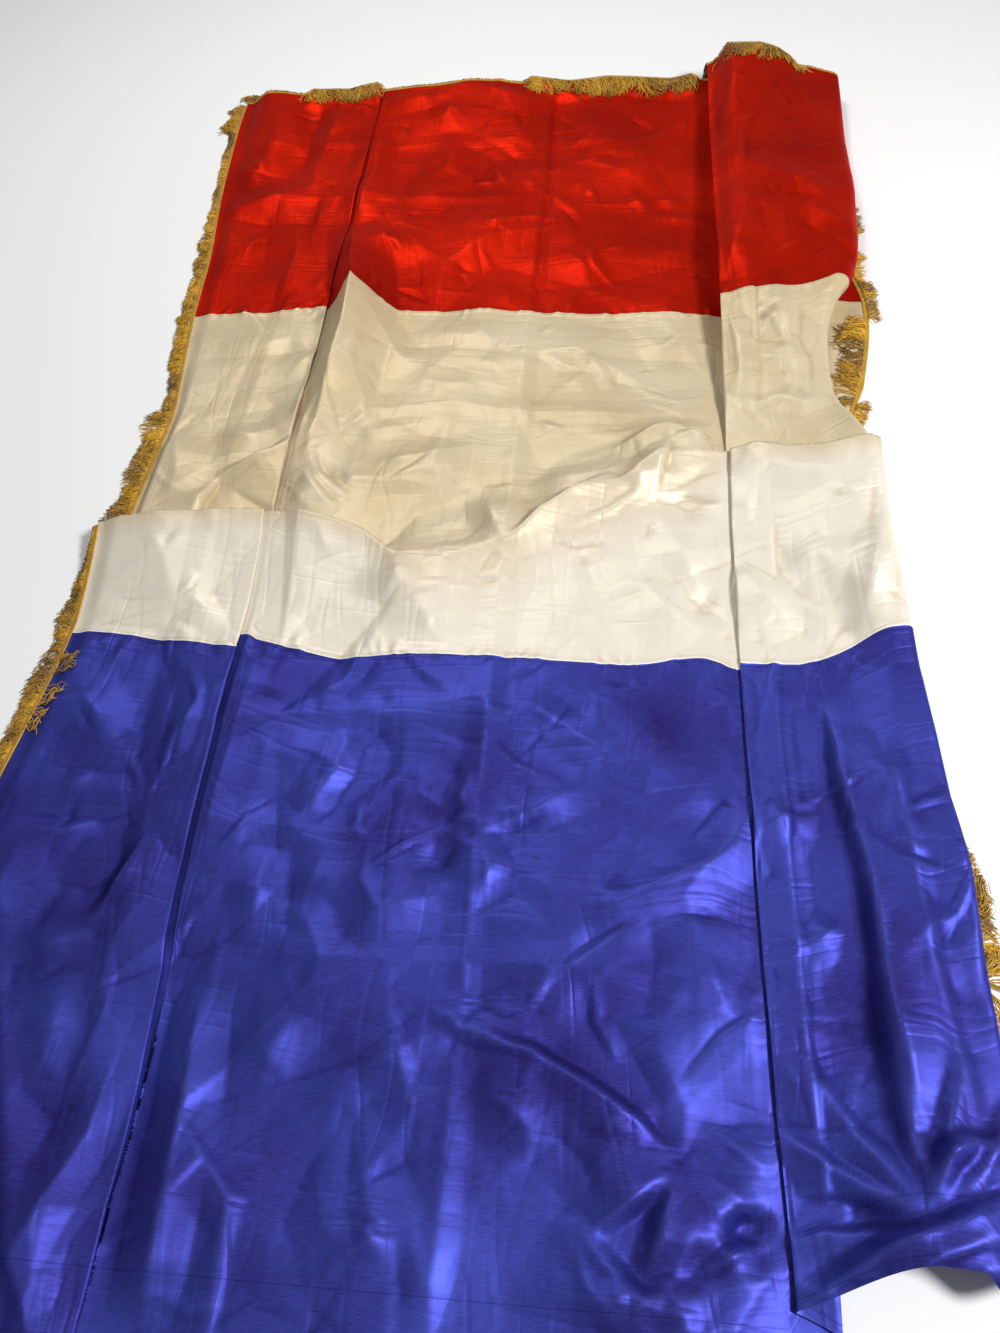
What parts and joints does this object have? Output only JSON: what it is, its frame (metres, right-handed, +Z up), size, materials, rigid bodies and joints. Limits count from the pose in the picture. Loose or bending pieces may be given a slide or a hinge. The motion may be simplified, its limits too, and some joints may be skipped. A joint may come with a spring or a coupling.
{
  "type": "folded fringed flag",
  "caption": "Large fringed tricolour flag of silk taffeta in blue, white and red, laid out flat with both long sides folded in and the cloth rumpled.",
  "frame": {"origin": "middle of the laid flag, on the surface that it lies on", "axes": "+Y along the fly from the plain hoist edge to the far fringed edge, +Z up out of the surface, +X across the flag"},
  "size_m": [1.6106, 2.8315, 0.1264],
  "materials": {
    "blue_silk": "crisp silk taffeta with a soft sheen, creased",
    "white_silk": "cream silk taffeta with a soft sheen, creased and aged",
    "red_silk": "crisp silk taffeta with a soft sheen, creased",
    "gold_fringe": "twisted gold rayon strands, matted and tangled"
  },
  "bodies": {
    "root": {"blue_band": "blue_silk", "white_band": "white_silk", "red_band": "red_silk", "fringe_left": "gold_fringe", "fringe_far": "gold_fringe", "fringe_right": "gold_fringe"}
  },
  "joints": []
}
